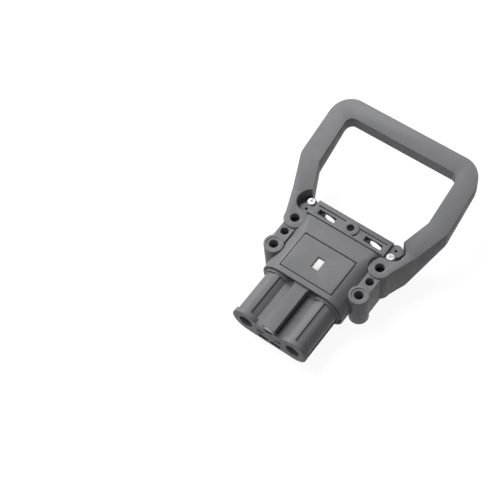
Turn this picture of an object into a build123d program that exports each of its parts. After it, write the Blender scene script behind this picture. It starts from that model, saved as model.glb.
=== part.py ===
import os
from math import sqrt

from build123d import *

os.makedirs("parts", exist_ok=True)

# A forklift battery connector: the plug half with its carrying handle. Millimetres.
# X runs across the plug, Y from the nose to the handle and Z up from the underside.
# The origin lies on the underside, midway between the middle pair of ear holes.

# Clearances
slide = 0.3            # round parts that slide into one another
seam = 0.15            # between an insert and the pocket that it fills
plate_seam = 0.8       # the wider line that shows round the cover plate

# Body of the housing
body_width = 103.0
body_height = 50.0
body_flat = 4.0        # flat band left on the round sides
rim_y = -45.0          # front edge of the body
rim_wall = 2.4
moat_depth = 4.0       # recess round the root of the nose
shoulder_start = 2.0   # from here the round sides blend into a squarer back
shoulder_end = 23.0
shoulder_width = 100.0
shoulder_corner = 12.0
body_back = 29.6

# Ears with their vertical holes, three on each side
ear_x = 55.0
ear_pitch = 20.0       # along Y, from the front hole to the middle one
eye_y = 19.1           # the hole of the handle's eye
ear_height = 46.0
column_radius = 11.0
front_hole_radius = 5.2
rim_ring_radius = 8.2
rim_ring_depth = 0.8
strip_width = 15.6
strip_height = 44.0
middle_hole_radius = 4.7

# Nose, two round lobes with a key block between them. Here and in the pieces that the
# nose holds, each drop is measured down from the top of the body.
contact_x = 30.0
contact_drop = 23.2
lobe_radius = 17.2
nose_y = -105.0
web_drop = 12.5        # flat web between the lobes
key_width = 15.8
key_drop = 3.6
channel_width = 2.0    # narrow channels in the web, one on each side of the key block
channel_drop = 16.5
channel_lip = 3.0
collar_step = 1.2
collar_y = -47.5
flute_depth = 1.8      # flutes that run along the lobes
flute_end = 5.5        # plain lip left at the front of the nose
left_flutes = ((12, 66), (100, 98))      # start and sweep of each flute in degrees
right_flutes = ((-24, 112), (107, 61))

# Contact chambers
guide_radius = 8.4
guide_length = 12.0
contact_radius = 9.0
chamber_radius = contact_radius + slide
cable_radius = 11.5
cable_depth = 18.0     # wide mouth of each chamber at the back

# Main contacts
contact_length = 105.0
socket_radius = 6.4
socket_depth = 46.0
barrel_bore = 6.9
barrel_depth = 34.0
slit_width = 1.2
slit_length = 34.0
ring_y = -36.0
ring_width = 1.8
ring_depth = 1.0       # how far the ring sits in the contact and in the chamber
ring_gap = 5.0

# Coding pin with its drum under the window
pin_drop = 11.0
pin_flats = 11.4
drum_front = -27.0
drum_length = 24.0
pin_half_length = 18.0
pin_recess = 1.0
drum_room = 1.0

# Cover plate
plate_width = 65.4
plate_front = -38.1
plate_length = 46.2
plate_depth = 3.4
window_width = 9.1
window_length = 14.4
window_y = -15.2

# Pilot contacts and their carrier
carrier_width = 30.0
carrier_height = 17.6
carrier_length = 36.0
carrier_drop = 30.2
wire_room = 8.0        # space for the pilot wires behind the carrier
wire_room_step = 1.2   # step all round it, on which the carrier rests
pilot_x = 7.8
pilot_drop = 35.0
pilot_slot = (12.4, 6.2)
pilot_slot_depth = 8.0
vent_x = 10.9
vent_drop = 25.2
vent_slot = (7.6, 3.8)
pilot_radius = 2.4
pilot_bore = 1.5
pilot_length = 34.0
pilot_collar_length = 3.0
duct_radius = 6.5
duct_drop = 28.5

# Cable clamp, two halves that meet at half the body's height
clamp_gap = 0.7        # between the housing and the clamp
clamp_depth = 26.9
clamp_half_width = 48.0
clamp_height = 14.5    # of one half
clamp_end_height = 11.7
clamp_row_y = 40.0     # front screw row
clamp_row_pitch = 10.0
clamp_screw_x = 55.0
pin_corner_radius = 7.9
screw_corner_radius = 5.7
clamp_round = 3.4
clamp_boss_radius = 9.3
clamp_boss_y = 44.9
clamp_boss_rise = 1.3
clamp_boss_hole = 4.3
pilot_cable_radius = 7.5
flange_thickness = 3.0 # flange that stands behind the body
flange_drop = 0.8      # how far it stays below the body's top
mouth_cut = 5.0        # how far the lower half is open below each cable
clamp_window = (22.0, 6.4)
clamp_window_y = 43.2
rear_slit = (35.5, 1.6)
rear_slit_y = 49.8
rear_slit_depth = 2.2
boss_slit_width = 1.0
boss_slit_depth = 2.0
boss_slit_arc = (-72, 62)   # start and sweep in degrees

# Tongue of the housing that the clamp halves grip
tongue_thickness = 7.6
tongue_corner = 6.4

# Clamp screws
screw_radius = 2.4
screw_head_radius = 4.75
screw_head_height = 2.4
screw_head_edge = 0.7  # bevel round the heads
screw_hole_radius = 2.5
screw_tip_cover = 3.0
tip_hole_radius = 1.7

# Handle
eye_radius = 12.5
eye_slot = 16.2        # slot of the eye, round the lug of the housing
eye_slot_drop = 2.0    # its middle lies this far below the seam of the clamp
lug_radius = 10.0
arm_outer_kink = (94.5, 86.5)
arm_inner_kink = (70.6, 87.4)
arm_inner_root = (59.0, 57.7)
handle_outer_x = 92.8
handle_inner_x = 70.6
grip_back = 165.0
grip_front = 145.2
outer_round = 26.0
inner_round = 9.0
kink_round = 14.0
root_rise_y = 50.0     # here the top of the arm starts to climb
kink_top = 58.2
grip_top = 83.3
root_lift_y = 39.0     # here its underside leaves the ground
kink_bottom = 35.5
grip_front_bottom = 61.5
grip_back_bottom = 67.8

# Handle screws
handle_head_radius = 5.0
handle_head_height = 4.0
handle_hole_radius = 3.3
handle_screw_radius = 3.0
handle_cheek = 3.0     # plastic left under the head
handle_counterbore = 5.4
nut_flats = 10.0
nut_height = 5.0
nut_depth = 7.5

# Places worked out from the sizes above
body_corner = (body_height - body_flat) / 2
contact_z = body_height - contact_drop
web_z = body_height - web_drop
key_top = body_height - key_drop
channel_floor = body_height - channel_drop
pin_z = body_height - pin_drop
carrier_z = body_height - carrier_drop
pilot_z = body_height - pilot_drop
vent_z = body_height - vent_drop
duct_z = body_height - duct_drop
clamp_z = body_height / 2
eye_slot_z = clamp_z - eye_slot_drop
moat_floor = rim_y + moat_depth
clamp_front = body_back + clamp_gap
clamp_back = clamp_front + clamp_depth
clamp_rows = (clamp_row_y, clamp_row_y + clamp_row_pitch)
pocket_y = sum(clamp_rows) / 2
pocket_radius = clamp_row_pitch / 2 + pin_corner_radius + clamp_gap
contact_front = nose_y + guide_length
drum_flats = 2 * (body_height - plate_depth - pin_z)
pilot_collar_radius = pilot_slot[1] / 2 - seam
chamber_back = body_back - cable_depth
pin_front = nose_y + pin_recess
carrier_back = nose_y + carrier_length
slot_top = eye_slot_z + eye_slot / 2
slot_bottom = eye_slot_z - eye_slot / 2
lug_top = slot_top - slide
lug_bottom = slot_bottom + slide
clamp_top = clamp_z + clamp_height
clamp_end_top = clamp_z + clamp_end_height


def across(y):
    """Plane that faces the nose at the given Y, with its x along X and its y along Z."""
    return Plane.XZ.offset(-y)


def level(z):
    """Plane that faces up at the given height."""
    return Plane.XY.offset(z)


def corners_of_hexagon(flats):
    """Width of a hexagon from corner to corner."""
    return 2 * flats / sqrt(3)


def build_housing():
    """The main moulding: body, ears, nose and contact chambers."""
    flutes = flute_cutters()
    chambers = chamber_cutters()
    ear_holes = ear_hole_cutters()
    with BuildPart() as housing:
        # Round-sided body, then a blend into the squarer shoulders at the back
        with BuildSketch(across(rim_y)):
            with Locations((0, body_height / 2)):
                RectangleRounded(body_width, body_height, body_corner)
        extrude(amount=-(shoulder_start - rim_y))
        with BuildSketch(across(shoulder_start)):
            with Locations((0, body_height / 2)):
                RectangleRounded(body_width, body_height, body_corner)
        with BuildSketch(across(shoulder_end)):
            with Locations((0, body_height / 2)):
                RectangleRounded(shoulder_width, body_height, shoulder_corner)
        loft()
        with BuildSketch(across(shoulder_end)):
            with Locations((0, body_height / 2)):
                RectangleRounded(shoulder_width, body_height, shoulder_corner)
        extrude(amount=-(body_back - shoulder_end))

        # Ears: a round column in front, then a lower strip up to the handle's eye
        with BuildSketch():
            with Locations((-ear_x, -ear_pitch), (ear_x, -ear_pitch)):
                Circle(column_radius)
        extrude(amount=ear_height)
        with BuildSketch():
            with Locations((-ear_x, 0), (ear_x, 0)):
                Rectangle(strip_width, 2 * ear_pitch)
        extrude(amount=strip_height)

        # Recess behind the rim, then the collar and the nose that stand in it
        with BuildSketch(across(rim_y)):
            with Locations((0, body_height / 2)):
                RectangleRounded(
                    body_width - 2 * rim_wall, body_height - 2 * rim_wall, body_corner - rim_wall
                )
        extrude(amount=-moat_depth, mode=Mode.SUBTRACT)
        with BuildSketch(across(moat_floor)):
            lobes_outline(collar_step)
            middle_outline(collar_step)
        extrude(amount=moat_floor - collar_y)
        with BuildSketch(across(moat_floor)):
            lobes_outline(0)
        extrude(amount=moat_floor - nose_y)
        add(flutes, mode=Mode.SUBTRACT)
        with BuildSketch(across(moat_floor)):
            middle_outline(0)
        extrude(amount=moat_floor - nose_y)
        with BuildSketch(across(collar_y)):
            for side in (-1, 1):
                with Locations((side * (key_width + channel_width) / 2, (web_z + channel_floor) / 2)):
                    Rectangle(channel_width, web_z - channel_floor)
        extrude(amount=collar_y - nose_y - channel_lip, mode=Mode.SUBTRACT)

        # Seats of the handle's eyes above and below the lug, and the clamp's tongues
        with BuildSketch(level(lug_top)):
            with Locations((-ear_x, eye_y), (ear_x, eye_y)):
                Circle(eye_radius + slide)
        extrude(amount=body_height, mode=Mode.SUBTRACT)
        with BuildSketch():
            with Locations((-ear_x, eye_y), (ear_x, eye_y)):
                Circle(eye_radius + slide)
        extrude(amount=lug_bottom, mode=Mode.SUBTRACT)
        with BuildSketch(level(lug_bottom)):
            with Locations((-ear_x, eye_y), (ear_x, eye_y)):
                Circle(lug_radius)
        extrude(amount=lug_top - lug_bottom)
        with BuildSketch(level(clamp_z - tongue_thickness / 2)):
            for side in (-1, 1):
                with Locations(*[(side * clamp_screw_x, y) for y in clamp_rows]):
                    Circle(tongue_corner)
                with Locations((side * clamp_screw_x, (eye_y + clamp_rows[1]) / 2)):
                    Rectangle(2 * tongue_corner, clamp_rows[1] - eye_y)
        extrude(amount=tongue_thickness)

        add(chambers, mode=Mode.SUBTRACT)
        add(ear_holes, mode=Mode.SUBTRACT)
    return housing.part


def lobes_outline(grow):
    """Section of the two lobes of the nose, grown all round by the given amount."""
    with Locations((-contact_x, contact_z), (contact_x, contact_z)):
        Circle(lobe_radius + grow)


def middle_outline(grow):
    """Section of the web and the key block between the lobes."""
    bottom = contact_z - lobe_radius - grow
    with Locations((0, (bottom + web_z + grow) / 2)):
        Rectangle(2 * contact_x, web_z + grow - bottom)
    with Locations((0, (contact_z + key_top) / 2)):
        Rectangle(key_width + 2 * grow, key_top - contact_z)


def flute_cutters():
    """Flutes along the lobes, each from one angle to another."""
    flute_front = nose_y + flute_end
    with BuildPart() as flutes:
        for centre, arcs in ((-contact_x, left_flutes), (contact_x, right_flutes)):
            axis = Plane((centre, flute_front, contact_z), x_dir=(1, 0, 0), z_dir=(0, -1, 0))
            for arc in arcs:
                with BuildSketch(axis):
                    with BuildLine():
                        inner = CenterArc((0, 0), lobe_radius - flute_depth, *arc)
                        outer = CenterArc((0, 0), lobe_radius + 1, *arc)
                        Line(inner @ 0, outer @ 0)
                        Line(inner @ 1, outer @ 1)
                    make_face()
                extrude(amount=-(collar_y - flute_front))
    return flutes.part


def chamber_cutters():
    """Bores for the contacts, the coding pin, the pilot carrier and the cables."""
    both = ((-contact_x, contact_z), (contact_x, contact_z))
    with BuildPart() as chambers:
        with BuildSketch(across(nose_y)):
            with Locations(*both):
                Circle(guide_radius)
        extrude(amount=-guide_length)
        with BuildSketch(across(contact_front)):
            with Locations(*both):
                Circle(chamber_radius)
        extrude(amount=-(chamber_back - contact_front))
        with BuildSketch(across(ring_y)):
            with Locations(*both):
                Circle(chamber_radius + ring_depth)
        extrude(amount=-(ring_width + seam))
        with BuildSketch(across(chamber_back)):
            with Locations(*both):
                Circle(cable_radius)
        extrude(amount=-cable_depth)

        # Coding pin: a hexagonal tunnel, and room for the drum under the cover plate
        with BuildSketch(across(nose_y)):
            with Locations((0, pin_z)):
                RegularPolygon(pin_flats / 2 + seam, 6, major_radius=False)
        extrude(amount=-(drum_front - nose_y))
        drum_floor = pin_z - drum_flats / 2 - seam
        with BuildSketch(level(drum_floor)):
            with Locations((0, drum_front + drum_length / 2)):
                Rectangle(corners_of_hexagon(drum_flats) + 2 * drum_room, drum_length + 2 * seam)
        extrude(amount=body_height - drum_floor)

        # Pilot carrier in front, a round duct for its wires behind
        with BuildSketch(across(nose_y)):
            with Locations((0, carrier_z)):
                Rectangle(carrier_width + 2 * seam, carrier_height + 2 * seam)
        extrude(amount=-carrier_length)
        with BuildSketch(across(carrier_back)):
            with Locations((0, carrier_z)):
                Rectangle(carrier_width - 2 * wire_room_step, carrier_height - 2 * wire_room_step)
        extrude(amount=-wire_room)
        with BuildSketch(across(carrier_back)):
            with Locations((0, duct_z)):
                Circle(duct_radius)
        extrude(amount=-(body_back - carrier_back))

        # Pocket of the cover plate
        with BuildSketch(level(body_height - plate_depth)):
            with Locations((0, plate_front + plate_length / 2)):
                Rectangle(plate_width + 2 * plate_seam, plate_length + 2 * plate_seam)
        extrude(amount=2 * plate_depth)
    return chambers.part


def ear_hole_cutters():
    """Open holes in the ears, the handle screw holes and the clamp screw holes."""
    with BuildPart() as holes:
        with BuildSketch():
            with Locations((-ear_x, -ear_pitch), (ear_x, -ear_pitch)):
                Circle(front_hole_radius)
            with Locations((-ear_x, 0), (ear_x, 0)):
                Circle(middle_hole_radius)
            with Locations((-ear_x, eye_y), (ear_x, eye_y)):
                Circle(handle_hole_radius)
            for y in clamp_rows:
                with Locations((-clamp_screw_x, y), (clamp_screw_x, y)):
                    Circle(screw_hole_radius)
        extrude(amount=body_height)
        with BuildSketch(level(ear_height - rim_ring_depth)):
            with Locations((-ear_x, -ear_pitch), (ear_x, -ear_pitch)):
                Circle(rim_ring_radius)
        extrude(amount=2 * rim_ring_depth)
    return holes.part


def build_cover_plate():
    """Plate that fills the pocket flush with the curved top of the body."""
    with BuildPart() as plate:
        with BuildSketch(across(rim_y)):
            with Locations((0, body_height / 2)):
                RectangleRounded(body_width, body_height, body_corner)
        extrude(amount=-(shoulder_end - rim_y))
        with BuildSketch(level(body_height - plate_depth)):
            with Locations((0, plate_front + plate_length / 2)):
                Rectangle(plate_width, plate_length)
        extrude(amount=2 * plate_depth, mode=Mode.INTERSECT)
        with BuildSketch(level(body_height - plate_depth)):
            with Locations((0, window_y)):
                Rectangle(window_width, window_length)
        extrude(amount=2 * plate_depth, mode=Mode.SUBTRACT)
    return plate.part


def build_coding_pin():
    """Hexagonal pin, half cut away at the tip, with a drum behind it."""
    with BuildPart() as pin:
        with BuildSketch(across(pin_front)):
            with Locations((0, pin_z)):
                RegularPolygon(pin_flats / 2, 6, major_radius=False)
        extrude(amount=-(drum_front - pin_front))
        with BuildSketch(across(drum_front)):
            with Locations((0, pin_z)):
                RegularPolygon(drum_flats / 2, 6, major_radius=False)
        extrude(amount=-drum_length)
        with BuildSketch(across(pin_front)):
            with Locations((0, pin_z - pin_flats / 2)):
                Rectangle(2 * pin_flats, pin_flats)
        extrude(amount=-pin_half_length, mode=Mode.SUBTRACT)
    return pin.part


def build_pilot_carrier():
    """Insert with four openings in its face, which carries the pilot contacts."""
    with BuildPart() as carrier:
        with BuildSketch(across(nose_y)):
            with Locations((0, carrier_z)):
                Rectangle(carrier_width, carrier_height)
        extrude(amount=-carrier_length)
        with BuildSketch(across(nose_y)):
            with Locations((-pilot_x, pilot_z), (pilot_x, pilot_z)):
                Rectangle(*pilot_slot)
            with Locations((-vent_x, vent_z), (vent_x, vent_z)):
                Rectangle(*vent_slot)
        extrude(amount=-pilot_slot_depth, mode=Mode.SUBTRACT)
        with BuildSketch(across(nose_y)):
            with Locations((-pilot_x, pilot_z), (pilot_x, pilot_z)):
                Circle(pilot_radius + seam)
        extrude(amount=-carrier_length, mode=Mode.SUBTRACT)
    return carrier.part


def build_pilot_contact(side):
    """Turned sleeve with a collar that rests on the floor of its slot."""
    collar_front = nose_y + pilot_slot_depth - pilot_collar_length
    with BuildPart() as contact:
        with BuildSketch(across(collar_front)):
            with Locations((side * pilot_x, pilot_z)):
                Circle(pilot_radius)
        extrude(amount=-pilot_length)
        with BuildSketch(across(collar_front)):
            with Locations((side * pilot_x, pilot_z)):
                Circle(pilot_collar_radius)
        extrude(amount=-pilot_collar_length)
        with BuildSketch(across(collar_front)):
            with Locations((side * pilot_x, pilot_z)):
                Circle(pilot_bore)
        extrude(amount=-pilot_length / 2, mode=Mode.SUBTRACT)
    return contact.part


def build_main_contact(side):
    """Slit socket in front, crimp barrel behind, and a groove for the snap ring."""
    back = contact_front + contact_length
    with BuildPart() as contact:
        plane = Plane((side * contact_x, 0, contact_z), x_dir=(0, 1, 0), z_dir=(1, 0, 0))
        with BuildSketch(plane):
            with BuildLine():
                Polyline(
                    (contact_front, socket_radius + 1),
                    (contact_front + 1, contact_radius),
                    (ring_y, contact_radius),
                    (ring_y, contact_radius - ring_depth),
                    (ring_y + ring_width + seam, contact_radius - ring_depth),
                    (ring_y + ring_width + seam, contact_radius),
                    (back, contact_radius),
                    (back, barrel_bore),
                    (back - barrel_depth, barrel_bore),
                    (back - barrel_depth, 0),
                    (contact_front + socket_depth, 0),
                    (contact_front + socket_depth, socket_radius),
                    (contact_front, socket_radius),
                    close=True,
                )
            make_face()
        revolve(axis=Axis((side * contact_x, 0, contact_z), (0, 1, 0)))
        with BuildSketch(across(contact_front)):
            with Locations((side * contact_x, contact_z)):
                Rectangle(3 * contact_radius, slit_width)
                Rectangle(slit_width, 3 * contact_radius)
        extrude(amount=-slit_length, mode=Mode.SUBTRACT)
    return contact.part


def build_contact_ring(side):
    """Open snap ring that holds the contact in its chamber."""
    with BuildPart() as ring:
        with BuildSketch(across(ring_y + seam / 2)):
            with Locations((side * contact_x, contact_z)):
                Circle(chamber_radius + ring_depth - seam)
                Circle(contact_radius - ring_depth + seam, mode=Mode.SUBTRACT)
            with Locations((side * contact_x, contact_z - contact_radius)):
                Rectangle(ring_gap, contact_radius, mode=Mode.SUBTRACT)
        extrude(amount=-ring_width)
    return ring.part


def clamp_corner(side, row, radius, inner_row):
    """Rounded corner of the clamp outline round one screw place, tied to the body."""
    x = side * clamp_screw_x
    with Locations((x, clamp_rows[row])):
        Circle(radius)
    with Locations((x - side * radius / 2, (clamp_rows[row] + clamp_rows[inner_row]) / 2)):
        Rectangle(radius, clamp_row_pitch)


def build_clamp_half(open_mouths):
    """Upper half of the cable clamp. The lower half is turned over and has open mouths."""
    middle_y = (clamp_front + clamp_back) / 2
    with BuildPart() as half:
        # Middle part, with its top edge at the back rounded
        with BuildSketch(level(clamp_z)):
            with Locations((0, middle_y)):
                Rectangle(2 * clamp_half_width, clamp_depth)
        extrude(amount=clamp_height)
        fillet(half.edges().filter_by(Axis.X).group_by(Axis.Z)[-1].sort_by(Axis.Y)[-1], clamp_round)

        # Flange along the front, nearly as high as the body that it stands behind
        with BuildSketch(level(clamp_z)):
            with Locations((0, clamp_front + flange_thickness / 2)):
                Rectangle(2 * clamp_half_width, flange_thickness)
        extrude(amount=body_height - flange_drop - clamp_z)

        # Round corners at both ends, larger round the hole that takes the other half's screw
        with BuildSketch(level(clamp_z)):
            for side in (-1, 1):
                pin_row = 0 if side < 0 else 1
                clamp_corner(side, pin_row, pin_corner_radius, 1 - pin_row)
                clamp_corner(side, 1 - pin_row, screw_corner_radius, pin_row)
            with Locations((0, middle_y)):
                Rectangle(2 * clamp_screw_x, clamp_depth - 2 * clamp_round)
        extrude(amount=clamp_end_height)

        # Boss round the middle hole
        with BuildSketch(level(clamp_z)):
            with Locations((0, clamp_boss_y)):
                Circle(clamp_boss_radius)
        extrude(amount=clamp_height + clamp_boss_rise)

        # Room for the tongues of the housing
        with BuildSketch(level(clamp_z)):
            for side in (-1, 1):
                with Locations((side * (clamp_half_width + clamp_screw_x / 2), middle_y)):
                    Rectangle(clamp_screw_x, 3 * clamp_depth)
        extrude(amount=tongue_thickness / 2, mode=Mode.SUBTRACT)

        # Channels of the two cables, with a smaller one between them
        with BuildSketch(across(clamp_front)):
            with Locations((-contact_x, clamp_z), (contact_x, clamp_z)):
                Circle(cable_radius)
            with Locations((0, clamp_z)):
                Circle(pilot_cable_radius)
        extrude(amount=-clamp_depth, mode=Mode.SUBTRACT)
        if open_mouths:
            with BuildSketch(level(clamp_z)):
                mouth_y = clamp_back - mouth_cut / 2
                with Locations((-contact_x, mouth_y), (contact_x, mouth_y)):
                    Rectangle(2 * cable_radius, mouth_cut)
            extrude(amount=2 * clamp_height, mode=Mode.SUBTRACT)

        # Windows over the cables, the middle hole, and the holes of the screws
        with BuildSketch(level(clamp_z)):
            with Locations((-contact_x, clamp_window_y), (contact_x, clamp_window_y)):
                Rectangle(*clamp_window)
            with Locations((0, clamp_boss_y)):
                Circle(clamp_boss_hole)
            with Locations((clamp_screw_x, clamp_rows[0]), (-clamp_screw_x, clamp_rows[1])):
                Circle(screw_hole_radius)
            with Locations((-clamp_screw_x, clamp_rows[0]), (clamp_screw_x, clamp_rows[1])):
                Circle(tip_hole_radius)
        extrude(amount=2 * clamp_height, mode=Mode.SUBTRACT)
        with BuildSketch(level(clamp_z)):
            with Locations((-clamp_screw_x, clamp_rows[0]), (clamp_screw_x, clamp_rows[1])):
                Circle(screw_hole_radius)
        extrude(amount=clamp_end_height - screw_tip_cover, mode=Mode.SUBTRACT)

        # Slits along the back and beside the boss
        with BuildSketch(level(clamp_top - rear_slit_depth)):
            slit_x = clamp_boss_radius - slide + rear_slit[0] / 2
            with Locations((-slit_x, rear_slit_y), (slit_x, rear_slit_y)):
                Rectangle(*rear_slit)
        extrude(amount=2 * rear_slit_depth, mode=Mode.SUBTRACT)
        with BuildSketch(level(clamp_top - boss_slit_depth)):
            with BuildLine():
                inner = CenterArc((0, clamp_boss_y), clamp_boss_radius, *boss_slit_arc)
                outer = CenterArc((0, clamp_boss_y), clamp_boss_radius + boss_slit_width, *boss_slit_arc)
                Line(inner @ 0, outer @ 0)
                Line(inner @ 1, outer @ 1)
            make_face()
        extrude(amount=2 * boss_slit_depth, mode=Mode.SUBTRACT)
    return half.part


def build_clamp_screw(x, y):
    """Pan head screw that enters the clamp from above."""
    with BuildPart() as screw:
        with BuildSketch(level(clamp_end_top)):
            with Locations((x, y)):
                Circle(screw_radius)
        extrude(amount=-(2 * clamp_end_height - screw_tip_cover - slide))
        with BuildSketch(level(clamp_end_top)):
            with Locations((x, y)):
                Circle(screw_head_radius)
        extrude(amount=screw_head_height)
        chamfer(screw.edges().group_by(Axis.Z)[-1], screw_head_edge)
    return screw.part


def turned_over(solid):
    """The same piece turned over about the line on which the clamp halves meet."""
    return solid.rotate(Axis((0, 0, clamp_z), (0, 1, 0)), 180)


def build_handle():
    """Carrying handle: a loop that climbs away from two slotted eyes."""
    with BuildPart() as handle:
        # Plan of the loop, as tall as the highest point
        with BuildSketch():
            with BuildLine():
                FilletPolyline(
                    (-eye_radius - ear_x, eye_y),
                    (-arm_outer_kink[0], arm_outer_kink[1]),
                    (-handle_outer_x, grip_back),
                    (handle_outer_x, grip_back),
                    arm_outer_kink,
                    (ear_x + eye_radius, eye_y),
                    radius=(kink_round, outer_round, outer_round, kink_round),
                )
                Line((ear_x + eye_radius, eye_y), (-eye_radius - ear_x, eye_y))
            make_face()
            with BuildLine():
                FilletPolyline(
                    (-arm_inner_root[0], 0),
                    (-arm_inner_root[0], arm_inner_root[1]),
                    (-arm_inner_kink[0], arm_inner_kink[1]),
                    (-handle_inner_x, grip_front),
                    (handle_inner_x, grip_front),
                    arm_inner_kink,
                    arm_inner_root,
                    (arm_inner_root[0], 0),
                    radius=(1, 1, inner_round, inner_round, 1, 1),
                )
                Line((arm_inner_root[0], 0), (-arm_inner_root[0], 0))
            make_face(mode=Mode.SUBTRACT)
            with Locations((-ear_x, eye_y), (ear_x, eye_y)):
                Circle(eye_radius)
            with Locations((-clamp_screw_x, pocket_y), (clamp_screw_x, pocket_y)):
                Circle(pocket_radius, mode=Mode.SUBTRACT)
        extrude(amount=grip_top + body_height)

        # Side view of the loop, which the plan is cut to
        with BuildSketch(Plane.YZ):
            with BuildLine():
                Polyline(
                    (eye_y - eye_radius - 1, 0),
                    (eye_y - eye_radius - 1, ear_height),
                    (root_rise_y, ear_height),
                    (arm_outer_kink[1], kink_top),
                    (grip_back, grip_top),
                    (grip_back, grip_back_bottom),
                    (grip_front, grip_front_bottom),
                    (arm_outer_kink[1], kink_bottom),
                    (root_lift_y, 0),
                    close=True,
                )
            make_face()
        extrude(amount=2 * handle_outer_x, both=True, mode=Mode.INTERSECT)

        # Slot of each eye, and its stepped screw hole with a nut pocket below
        with BuildSketch(level(slot_bottom)):
            for side in (-1, 1):
                with Locations((side * ear_x, eye_y)):
                    Circle(lug_radius + slide)
                with Locations((side * ear_x, eye_y - eye_radius)):
                    Rectangle(strip_width + 2 * slide, 2 * eye_radius)
                with Locations((side * (ear_x - eye_radius), eye_y)):
                    Rectangle(2 * eye_radius, 4 * eye_radius)
                with Locations((side * clamp_screw_x, eye_y + eye_radius)):
                    Rectangle(2 * (tongue_corner + slide), 2 * eye_radius)
        extrude(amount=eye_slot, mode=Mode.SUBTRACT)
        with BuildSketch():
            with Locations((-ear_x, eye_y), (ear_x, eye_y)):
                Circle(handle_hole_radius)
        extrude(amount=body_height, mode=Mode.SUBTRACT)
        with BuildSketch(level(slot_top + handle_cheek)):
            with Locations((-ear_x, eye_y), (ear_x, eye_y)):
                Circle(handle_counterbore)
        extrude(amount=body_height, mode=Mode.SUBTRACT)
        with BuildSketch():
            with Locations((-ear_x, eye_y), (ear_x, eye_y)):
                RegularPolygon(nut_flats / 2 + seam, 6, major_radius=False)
        extrude(amount=nut_depth, mode=Mode.SUBTRACT)
    return handle.part


def build_handle_screw(side):
    """Pan head screw deep in the eye, with its tip in the nut."""
    seat = slot_top + handle_cheek
    with BuildPart() as screw:
        with BuildSketch(level(nut_depth - nut_height)):
            with Locations((side * ear_x, eye_y)):
                Circle(handle_screw_radius)
        extrude(amount=seat - nut_depth + nut_height)
        with BuildSketch(level(seat)):
            with Locations((side * ear_x, eye_y)):
                Circle(handle_head_radius)
        extrude(amount=handle_head_height)
        chamfer(screw.edges().group_by(Axis.Z)[-1], screw_head_edge)
    return screw.part


def build_handle_nut(side):
    """Hexagon nut in the pocket on the underside of the eye."""
    with BuildPart() as nut:
        with BuildSketch(level(nut_depth - nut_height)):
            with Locations((side * ear_x, eye_y)):
                RegularPolygon(nut_flats / 2, 6, major_radius=False)
                Circle(handle_screw_radius, mode=Mode.SUBTRACT)
        extrude(amount=nut_height)
    return nut.part


screw_right = build_clamp_screw(clamp_screw_x, clamp_rows[0])
screw_left = build_clamp_screw(-clamp_screw_x, clamp_rows[1])

pieces = {
    "housing": build_housing(),
    "cover_plate": build_cover_plate(),
    "coding_pin": build_coding_pin(),
    "pilot_carrier": build_pilot_carrier(),
    "clamp_upper": build_clamp_half(open_mouths=False),
    "clamp_lower": turned_over(build_clamp_half(open_mouths=True)),
    "clamp_screw_top_right": screw_right,
    "clamp_screw_top_left": screw_left,
    "clamp_screw_under_left": turned_over(screw_right),
    "clamp_screw_under_right": turned_over(screw_left),
    "handle": build_handle(),
}
for name, side in (("left", -1), ("right", 1)):
    pieces["main_contact_" + name] = build_main_contact(side)
    pieces["contact_ring_" + name] = build_contact_ring(side)
    pieces["pilot_contact_" + name] = build_pilot_contact(side)
    pieces["handle_screw_" + name] = build_handle_screw(side)
    pieces["handle_nut_" + name] = build_handle_nut(side)

for name, piece in pieces.items():
    piece.label = name
    export_step(piece, "parts/" + name + ".step")
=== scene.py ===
from math import cos, pi, radians, sin

import bmesh
import bpy
from mathutils import Matrix, Vector


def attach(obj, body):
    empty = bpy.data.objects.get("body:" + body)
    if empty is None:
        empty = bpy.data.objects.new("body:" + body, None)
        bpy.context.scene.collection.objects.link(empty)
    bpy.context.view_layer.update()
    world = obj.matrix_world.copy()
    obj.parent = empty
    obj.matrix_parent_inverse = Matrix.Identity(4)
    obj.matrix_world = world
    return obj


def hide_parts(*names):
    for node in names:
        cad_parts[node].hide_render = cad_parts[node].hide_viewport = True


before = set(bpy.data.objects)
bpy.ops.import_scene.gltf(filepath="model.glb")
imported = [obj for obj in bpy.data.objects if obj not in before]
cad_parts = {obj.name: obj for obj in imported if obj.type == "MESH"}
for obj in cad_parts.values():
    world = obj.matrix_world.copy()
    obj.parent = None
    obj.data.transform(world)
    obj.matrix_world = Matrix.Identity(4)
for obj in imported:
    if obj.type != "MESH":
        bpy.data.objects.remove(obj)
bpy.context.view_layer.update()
mm = 0.001


# Shader maths as expressions

class Value:
    # wraps a socket, so that shader maths reads as ordinary sums
    def __init__(self, paint, socket):
        self.paint = paint
        self.socket = socket

    def maths(self, operation, other):
        return self.paint.node("ShaderNodeMath", {"operation": operation}, [self, other])

    def __add__(self, other):
        return self.maths("ADD", other)

    def __radd__(self, other):
        return self.maths("ADD", other)

    def __mul__(self, other):
        return self.maths("MULTIPLY", other)

    def __rmul__(self, other):
        return self.maths("MULTIPLY", other)


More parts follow.
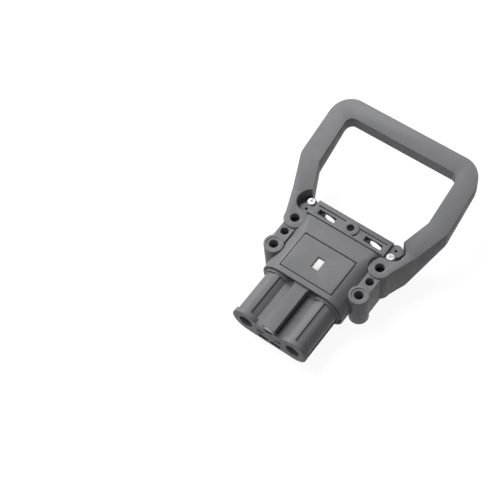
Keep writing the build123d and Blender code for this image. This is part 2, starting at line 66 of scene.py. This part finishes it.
class Paint:
    # one material, with its object coordinates at hand
    def __init__(self, name):
        self.material = bpy.data.materials.new(name)
        self.material.use_nodes = True
        self.tree = self.material.node_tree
        self.shader = self.tree.nodes["Principled BSDF"]
        self.place = self.node("ShaderNodeTexCoord", out="Object")

    def node(self, kind, settings=None, inputs=(), out=0):
        # inputs is a list in the sockets' order, or a dictionary by their names or numbers
        made = self.tree.nodes.new(kind)
        for name, setting in (settings or {}).items():
            setattr(made, name, setting)
        pairs = inputs.items() if isinstance(inputs, dict) else enumerate(inputs)
        for key, value in pairs:
            self.feed(made.inputs[key], value)
        return Value(self, made.outputs[out])

    def feed(self, socket, value):
        if isinstance(value, Value):
            self.tree.links.new(value.socket, socket)
        else:
            socket.default_value = value

    def set(self, **sockets):
        for name, value in sockets.items():
            self.feed(self.shader.inputs[name.replace("_", " ")], value)

    def noise(self, size, detail, roughness=0.5, stretch=(1, 1, 1), offset=0.0):
        # size is the real size of one blotch in metres, and stretch makes it finer along an axis
        turned = self.node("ShaderNodeMapping", {}, {
            "Vector": self.place, "Scale": [s / size for s in stretch],
            "Location": (offset, offset, offset),
        })
        return self.node("ShaderNodeTexNoise", {}, {
            "Vector": turned, "Scale": 1.0, "Detail": detail, "Roughness": roughness,
        })

    def between(self, value, low, high, fromLow=0.3, fromHigh=0.7):
        # a noise keeps mostly within 0.3 to 0.7
        return self.node("ShaderNodeMapRange", {}, {
            "Value": value, "From Min": fromLow, "From Max": fromHigh,
            "To Min": low, "To Max": high,
        })

    def blend(self, factor, first, second):
        # 0, 6 and 7 are the colour mix's own factor and colours, and 2 is its result
        return self.node("ShaderNodeMix", {"data_type": "RGBA"}, {
            0: factor, 6: first, 7: second,
        }, out=2)

    def bump(self, height, distance, strength, under=None):
        inputs = {"Height": height, "Distance": distance, "Strength": strength}
        if under is not None:
            inputs["Normal"] = under
        return self.node("ShaderNodeBump", {}, inputs)


def srgb(red, green, blue):
    # a colour as an eye or a picture gives it, from 0 to 255, made linear for the shader
    def linear(level):
        level = level / 255
        return level / 12.92 if level <= 0.04045 else ((level + 0.055) / 1.055) ** 2.4
    return (linear(red), linear(green), linear(blue), 1.0)


# Materials. A pattern is given by its size, detail and roughness, a bump by its depth and strength

greyPlastic = {
    "color": srgb(124, 124, 128), "cool": srgb(117, 118, 123), "warm": srgb(128, 127, 129),
    "blotch": (45 * mm, 3.0, 0.55),
    "cloud": (9 * mm, 4.0, 0.6), "cloudShare": 0.55,
    "fibre": (1.1 * mm, 2.0, 0.6), "fibreStretch": (1, 0.25, 1),
    "fibreTone": (0.97, 1.03), "fibreBump": (0.006 * mm, 0.6),
    "grain": (0.32 * mm, 3.0, 0.65), "grainTone": (0.955, 1.045), "grainBump": (0.018 * mm, 0.9),
    "rough": (0.48, 0.6), "grainRough": (-0.04, 0.04), "specular": 0.35,
}


def makeGreyPlastic(name, shade, offset):
    # glass-filled plastic with a fine spark-eroded grain and faint flow marks
    values = greyPlastic
    paint = Paint(name)
    blotch = paint.noise(*values["blotch"], offset=offset)
    cloud = paint.noise(*values["cloud"], offset=offset + 3)   # the steps keep the patterns apart
    fibre = paint.noise(*values["fibre"], stretch=values["fibreStretch"], offset=offset + 7)
    grain = paint.noise(*values["grain"], offset=offset + 11)
    base = paint.blend(paint.between(blotch, 0.0, 1.0), values["cool"], values["warm"])
    base = paint.blend(paint.between(cloud, 0.0, values["cloudShare"]), base, values["color"])
    tone = shade * paint.between(fibre, *values["fibreTone"])
    tone = tone * paint.between(grain, *values["grainTone"])
    base = paint.node("ShaderNodeVectorMath", {"operation": "SCALE"}, {
        "Vector": base, "Scale": tone,
    })
    rough = paint.between(cloud, *values["rough"]) + paint.between(grain, *values["grainRough"])
    under = paint.bump(fibre, *values["fibreBump"])
    normal = paint.bump(grain, *values["grainBump"], under=under)
    paint.set(
        Base_Color=base, Roughness=rough, Normal=normal, Specular_IOR_Level=values["specular"],
    )
    return paint.material


pinPlastic = {
    "first": srgb(238, 238, 235), "second": srgb(246, 246, 243), "cloud": (6 * mm, 3.0),
    "grain": (0.4 * mm, 3.0), "grainBump": (0.006 * mm, 1.0), "rough": (0.32, 0.4),
}


def makeWhitePlastic():
    # smooth off-white of the coding pin
    values = pinPlastic
    paint = Paint("whitePlastic")
    cloud = paint.noise(*values["cloud"])
    grain = paint.noise(*values["grain"])
    base = paint.blend(paint.between(cloud, 0.0, 1.0), values["first"], values["second"])
    rough = paint.between(cloud, *values["rough"])
    paint.set(Base_Color=base, Roughness=rough, Normal=paint.bump(grain, *values["grainBump"]))
    return paint.material


metals = {
    "zincPlate": {
        "first": srgb(222, 224, 226), "second": srgb(205, 206, 204), "rough": (0.3, 0.44),
        "marks": (0.25 * mm, 2.0, 0.5), "marksBump": (0.004 * mm, 1.0),
    },
    "blackOxide": {
        "first": srgb(58, 58, 62), "second": srgb(44, 44, 48), "rough": (0.38, 0.52),
        "marks": (0.3 * mm, 2.0, 0.5), "marksBump": (0.005 * mm, 1.0),
    },
    "silverPlate": {
        "first": srgb(214, 208, 198), "second": srgb(198, 190, 176), "rough": (0.24, 0.36),
        "marks": (0.3 * mm, 2.0, 0.5), "marksBump": (0.003 * mm, 1.0),
    },
    "springSteel": {
        "first": srgb(150, 152, 156), "second": srgb(132, 134, 138), "rough": (0.28, 0.42),
        "marks": (0.3 * mm, 2.0, 0.5), "marksBump": (0.004 * mm, 1.0),
    },
}
metalCloud = (2.4 * mm, 3.0)
marksStretch = (1, 1, 9)


def makeMetal(name):
    # plated or bare metal, with turning marks and a little uneven tone
    values = metals[name]
    paint = Paint(name)
    cloud = paint.noise(*metalCloud)
    marks = paint.noise(*values["marks"], stretch=marksStretch)
    base = paint.blend(paint.between(cloud, 0.0, 1.0), values["first"], values["second"])
    rough = paint.between(marks, *values["rough"])
    normal = paint.bump(marks, *values["marksBump"])
    paint.set(Base_Color=base, Roughness=rough, Normal=normal, Metallic=1.0)
    return paint.material


bodyGrey = makeGreyPlastic("bodyGrey", 1.0, 0.0)
plateGrey = makeGreyPlastic("plateGrey", 1.02, 20.0)
clampGrey = makeGreyPlastic("clampGrey", 0.98, 40.0)
handleGrey = makeGreyPlastic("handleGrey", 1.0, 60.0)
whitePlastic = makeWhitePlastic()
zincPlate = makeMetal("zincPlate")
blackOxide = makeMetal("blackOxide")
silverPlate = makeMetal("silverPlate")
springSteel = makeMetal("springSteel")
print("materials made")


# Moulded pieces: the CAD shape with its edges rounded as a mould leaves them

mouldedPieces = {
    "housing": {"round": 0.5 * mm, "finish": bodyGrey, "slot": "grey_plastic"},
    "cover_plate": {
        "round": 0.15 * mm, "finish": plateGrey, "slot": "grey_plastic",
        "seam": {"left": 0.1 * mm, "right": 0.5 * mm, "front": 0.25 * mm, "back": 0.6 * mm},
    },
    "pilot_carrier": {"round": 0.25 * mm, "finish": bodyGrey, "slot": "grey_plastic"},
    "clamp_upper": {
        "round": 0.45 * mm, "finish": clampGrey, "slot": "grey_plastic", "draft": 1.2 * mm,
    },
    "clamp_lower": {
        "round": 0.45 * mm, "finish": clampGrey, "slot": "grey_plastic", "draft": 1.2 * mm,
    },
    "handle": {"round": 1.4 * mm, "finish": handleGrey, "slot": "grey_plastic"},
    "coding_pin": {
        "round": 0.3 * mm, "finish": whitePlastic, "slot": "white_plastic",
        "reach": 0.95 * mm, "pad": 1.4 * mm, "padEnds": (-22.3 * mm, -8.6 * mm),
    },
}
sharpAngle = radians(28)
flatAngle = radians(0.6)    # triangles that turn less than this are one flat face
roundSteps = 3
weld = 0.002 * mm           # points of the CAD triangles nearer than this are one
hair = 0.001 * mm           # and points of a cut or a spun shape nearer than this
touch = 0.01 * mm           # a point nearer than this to a shape's outermost one is level with it
clampTops = (10.5 * mm, 39.5 * mm)   # under and upper face of the clamp, without its flanges
flangeFoot = 0.1 * mm       # the flange leans from this far off those faces


def mergedCopy(node):
    # a CAD node's own triangles, welded into one skin with its flat faces whole
    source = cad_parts[node]
    shape = bmesh.new()
    shape.from_mesh(source.data)
    bmesh.ops.remove_doubles(shape, verts=shape.verts, dist=weld)
    bmesh.ops.dissolve_limit(
        shape, angle_limit=flatAngle, verts=shape.verts, edges=shape.edges,
        use_dissolve_boundaries=False,
    )
    return shape


def cutThrough(shape, point, way):
    bmesh.ops.bisect_plane(
        shape, geom=shape.verts[:] + shape.edges[:] + shape.faces[:], dist=hair,
        plane_co=point, plane_no=way,
    )


def leanFlange(shape, draft):
    # the flange's front face leans back a little, which opens the line behind the body
    front = min(v.co.y for v in shape.verts) + touch
    for height in clampTops:
        cutThrough(shape, (0, 0, height), (0, 0, 1))
    under, over = clampTops[0] - flangeFoot, clampTops[1] + flangeFoot
    edge = [v for v in shape.verts if v.co.y < front and not under <= v.co.z <= over]
    bmesh.ops.translate(shape, vec=(0, draft, 0), verts=edge)


def widenSeam(shape, seam):
    # the plate's four sides move in, most at the right and the back, and its window stays
    for axis, low, high in ((0, "left", "right"), (1, "front", "back")):
        places = [v.co[axis] for v in shape.verts]
        lowest, highest = min(places) + touch, max(places) - touch
        for vert in shape.verts:
            if vert.co[axis] < lowest:
                vert.co[axis] += seam[low]
            elif vert.co[axis] > highest:
                vert.co[axis] -= seam[high]


def pushTip(shape, reach):
    # the pin's tip comes forward, flush with the face of the nose
    front = min(v.co.y for v in shape.verts) + touch
    tip = [v for v in shape.verts if v.co.y < front]
    bmesh.ops.translate(shape, vec=(0, -reach, 0), verts=tip)


def raisePad(shape, rise, ends):
    # the drum's flat top rises into the window of the plate
    for end in ends:
        cutThrough(shape, (0, end, 0), (0, 1, 0))
    top = max(v.co.z for v in shape.verts) - touch
    flat = [f for f in shape.faces if min(v.co.z for v in f.verts) > top
            and ends[0] < f.calc_center_median().y < ends[1]]
    raised = bmesh.ops.extrude_face_region(shape, geom=flat)["geom"]
    verts = [part for part in raised if isinstance(part, bmesh.types.BMVert)]
    bmesh.ops.translate(shape, vec=(0, 0, rise), verts=verts)
    bmesh.ops.delete(shape, geom=flat, context="FACES_ONLY")   # the old top, now inside the pad


def finishMesh(shape, name, finish, node):
    mesh = bpy.data.meshes.new(name)
    shape.to_mesh(mesh)
    shape.free()
    piece = bpy.data.objects.new(name, mesh)
    bpy.context.scene.collection.objects.link(piece)
    mesh.materials.append(finish)
    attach(piece, "root")
    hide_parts(node)
    return piece


for node, values in mouldedPieces.items():
    shape = mergedCopy(node)
    if "draft" in values:
        leanFlange(shape, values["draft"])
    if "seam" in values:
        widenSeam(shape, values["seam"])
    if "reach" in values:
        pushTip(shape, values["reach"])
        raisePad(shape, values["pad"], values["padEnds"])
    for face in shape.faces:
        face.smooth = True
    piece = finishMesh(shape, node + "_moulded", values["finish"], node)
    rounding = piece.modifiers.new("rounding", "BEVEL")
    rounding.width = values["round"]
    rounding.segments = roundSteps
    rounding.limit_method = "ANGLE"
    rounding.angle_limit = sharpAngle
    rounding.use_clamp_overlap = True
    rounding.harden_normals = True
    print(node, "rounded")


# Pieces that keep their CAD shape

plainFinishes = {
    "main_contact_left": silverPlate, "main_contact_right": silverPlate,
    "pilot_contact_left": silverPlate, "pilot_contact_right": silverPlate,
    "contact_ring_left": springSteel, "contact_ring_right": springSteel,
    "handle_nut_left": zincPlate, "handle_nut_right": zincPlate,
}
for node, finish in plainFinishes.items():
    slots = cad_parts[node].data.materials
    slots.clear()
    slots.append(finish)
print("contacts, rings and nuts finished")


# Screws with a domed head, a cross recess and a thread, in the place of the plain CAD ones

clampScrew = {
    "headHeight": 2.4 * mm, "dome": 0.9 * mm, "crown": 3.7 * mm,
    "shank": 2.4 * mm, "root": 1.9 * mm, "pitch": 1.6 * mm, "tip": 2.6 * mm,
    "wing": 2.45 * mm, "wingHalf": 0.55 * mm, "depth": 1.7 * mm, "taper": 0.62,
    "finish": zincPlate, "slot": "zinc_steel",
}
handleScrew = {
    "headHeight": 4.0 * mm, "dome": 1.6 * mm, "crown": 3.3 * mm,
    "shank": 3.0 * mm, "root": 2.5 * mm, "pitch": 1.0 * mm, "tip": 1.2 * mm,
    "wing": 2.6 * mm, "wingHalf": 0.6 * mm, "depth": 2.2 * mm, "taper": 0.62,
    "finish": blackOxide, "slot": "dark_steel",
}
# which screw, head up (1) or down (-1), and how far its cross is turned, in degrees
screwTurns = {
    "clamp_screw_top_left": (clampScrew, 1, 20), "clamp_screw_top_right": (clampScrew, 1, 52),
    "clamp_screw_under_left": (clampScrew, -1, 75), "clamp_screw_under_right": (clampScrew, -1, 8),
    "handle_screw_left": (handleScrew, 1, 34), "handle_screw_right": (handleScrew, 1, 61),
}
screwSteps = 40
domeSteps = 5
# one turn of the thread: the radius of each corner, and how many pitches down it lies
threadShape = (("shank", -0.12), ("root", 0.25), ("root", 0.4), ("shank", 0.8))
tipShare = 0.35   # of the root radius, left flat at the tip


def screwProfile(values, radius, length):
    # from the rim of the crown over the dome and down the threaded shank to the tip
    points = []
    for step in range(domeSteps + 1):
        turn = pi / 2 * step / domeSteps
        reach = values["crown"] + (radius - values["crown"]) * sin(turn)
        points.append((reach, values["dome"] * (cos(turn) - 1)))
    points += [(radius, -values["headHeight"]), (values["shank"], -values["headHeight"])]
    height = -values["headHeight"] - values["pitch"]
    while height - values["pitch"] > values["tip"] - length:
        points += [(values[part], height - down * values["pitch"]) for part, down in threadShape]
        height -= values["pitch"]
    points += [(values["root"], height), (tipShare * values["root"], -length), (0, -length)]
    return points


def crossOutline(values):
    # twelve corners of the cross, going round
    wing, half = values["wing"], values["wingHalf"]
    corners = []
    for quarter in range(4):
        c, s = cos(quarter * pi / 2), sin(quarter * pi / 2)
        for x, y in ((wing, -half), (wing, half), (half, half)):
            corners.append((x * c - y * s, x * s + y * c))
    return corners


def makeScrew(node, values, way, turn):
    box = [Vector(corner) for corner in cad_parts[node].bound_box]
    low = Vector([min(corner[axis] for corner in box) for axis in range(3)])
    high = Vector([max(corner[axis] for corner in box) for axis in range(3)])
    radius, length = (high.x - low.x) / 2, high.z - low.z
    shape = bmesh.new()
    ring = [shape.verts.new((r, 0, z)) for r, z in screwProfile(values, radius, length)]
    lines = [shape.edges.new(pair) for pair in zip(ring, ring[1:])]
    bmesh.ops.spin(
        shape, geom=ring + lines, cent=(0, 0, 0), axis=(0, 0, 1), angle=2 * pi, steps=screwSteps,
        use_merge=True,
    )
    bmesh.ops.remove_doubles(shape, verts=shape.verts, dist=hair)
    rim = [e for e in shape.edges if e.is_boundary]
    mouth = [shape.verts.new((x, y, 0)) for x, y in crossOutline(values)]
    sides = [shape.edges.new(pair) for pair in zip(mouth, mouth[1:] + mouth[:1])]
    bmesh.ops.triangle_fill(shape, use_beauty=True, use_dissolve=False, edges=rim + sides)
    sunk = bmesh.ops.extrude_edge_only(shape, edges=sides)["geom"]
    foot = [part for part in sunk if isinstance(part, bmesh.types.BMVert)]
    bmesh.ops.scale(shape, vec=(values["taper"], values["taper"], 1), verts=foot)
    bmesh.ops.translate(shape, vec=(0, 0, -values["depth"]), verts=foot)
    base = [part for part in sunk if isinstance(part, bmesh.types.BMEdge) and part.is_boundary]
    bmesh.ops.edgeloop_fill(shape, edges=base)
    bmesh.ops.recalc_face_normals(shape, faces=shape.faces)
    for face in shape.faces:
        face.smooth = len(face.verts) == 4
    centre = (low + high) / 2
    place = Matrix.Translation((centre.x, centre.y, high.z if way > 0 else low.z))
    if way < 0:
        place = place @ Matrix.Rotation(pi, 4, "X")
    shape.transform(place @ Matrix.Rotation(radians(turn), 4, "Z"))
    piece = finishMesh(shape, node + "_detailed", values["finish"], node)
    edges = piece.modifiers.new("edges", "EDGE_SPLIT")
    edges.split_angle = sharpAngle
    print(node, "made")


for node, (values, way, turn) in screwTurns.items():
    makeScrew(node, values, way, turn)


# Floor, light and camera

studio = {
    "floor": 6.0, "floorDrop": 0.05 * mm, "floorGrey": 0.25, "floorRough": 0.9, "floorGlow": 0.9,
    "key": 1.0, "keyPower": 20.0, "keyPlace": (-0.85, 0.2, 1.05),
    "fill": 0.9, "fillPower": 1.4, "fillPlace": (-0.2, -1.2, 0.7),
    "aim": (0, 0.02, 0.03), "world": 0.2,
}
white = (1.0, 1.0, 1.0, 1.0)


def makeFloor():
    # a dull grey that keeps the shadow, with a glow that only the camera and reflections see
    shape = bmesh.new()
    bmesh.ops.create_grid(shape, x_segments=1, y_segments=1, size=studio["floor"])
    bmesh.ops.translate(shape, vec=(0, 0, -studio["floorDrop"]), verts=shape.verts)
    mesh = bpy.data.meshes.new("floor")
    shape.to_mesh(mesh)
    shape.free()
    floor = bpy.data.objects.new("floor", mesh)
    bpy.context.scene.collection.objects.link(floor)
    paint = Paint("floorWhite")
    seen = paint.node("ShaderNodeLightPath", out="Is Camera Ray")
    for ray in ("Is Glossy Ray", "Is Transmission Ray"):
        other = paint.node("ShaderNodeLightPath", out=ray)
        seen = paint.node("ShaderNodeMath", {"operation": "MAXIMUM"}, [seen, other])
    grey = studio["floorGrey"]
    paint.set(
        Base_Color=(grey, grey, grey, 1.0), Roughness=studio["floorRough"], Specular_IOR_Level=0.0,
        Emission_Color=white, Emission_Strength=seen * studio["floorGlow"],
    )
    mesh.materials.append(paint.material)


def makeLamp(name, place, size, power):
    lamp = bpy.data.lights.new(name, "AREA")
    lamp.shape = "SQUARE"
    lamp.size = size
    lamp.energy = power
    item = bpy.data.objects.new(name, lamp)
    item.location = place
    sight = Vector(studio["aim"]) - Vector(place)
    item.rotation_euler = sight.to_track_quat("-Z", "Y").to_euler()
    bpy.context.scene.collection.objects.link(item)


def makeWorld():
    world = bpy.data.worlds.new("studio")
    world.use_nodes = True
    background = world.node_tree.nodes["Background"]
    background.inputs["Color"].default_value = white
    background.inputs["Strength"].default_value = studio["world"]
    bpy.context.scene.world = world


camera = {
    "place": Vector((396.57, -530.27, 1190.12)) * mm,
    "azimuth": radians(43.69), "elevation": radians(59.40), "roll": radians(-7.96),
    "lens": 89.64, "sensor": 36.0, "farthest": 50,
}


def makeCamera():
    a, e = camera["azimuth"], camera["elevation"]
    back = Vector((sin(a) * cos(e), -cos(a) * cos(e), sin(e)))
    right = Vector((cos(a), sin(a), 0))
    turn = Matrix((right, back.cross(right), back)).transposed().to_4x4()
    roll = Matrix.Rotation(camera["roll"], 4, "Z")
    lens = bpy.data.cameras.new("camera")
    lens.sensor_width = camera["sensor"]
    lens.lens = camera["lens"]
    lens.clip_end = camera["farthest"]
    item = bpy.data.objects.new("camera", lens)
    item.matrix_world = Matrix.Translation(camera["place"]) @ turn @ roll
    bpy.context.scene.collection.objects.link(item)
    bpy.context.scene.camera = item


makeFloor()
makeLamp("keyLamp", studio["keyPlace"], studio["key"], studio["keyPower"])
makeLamp("fillLamp", studio["fillPlace"], studio["fill"], studio["fillPower"])
makeWorld()
makeCamera()
bpy.context.scene.view_settings.view_transform = "Standard"
print("studio set")
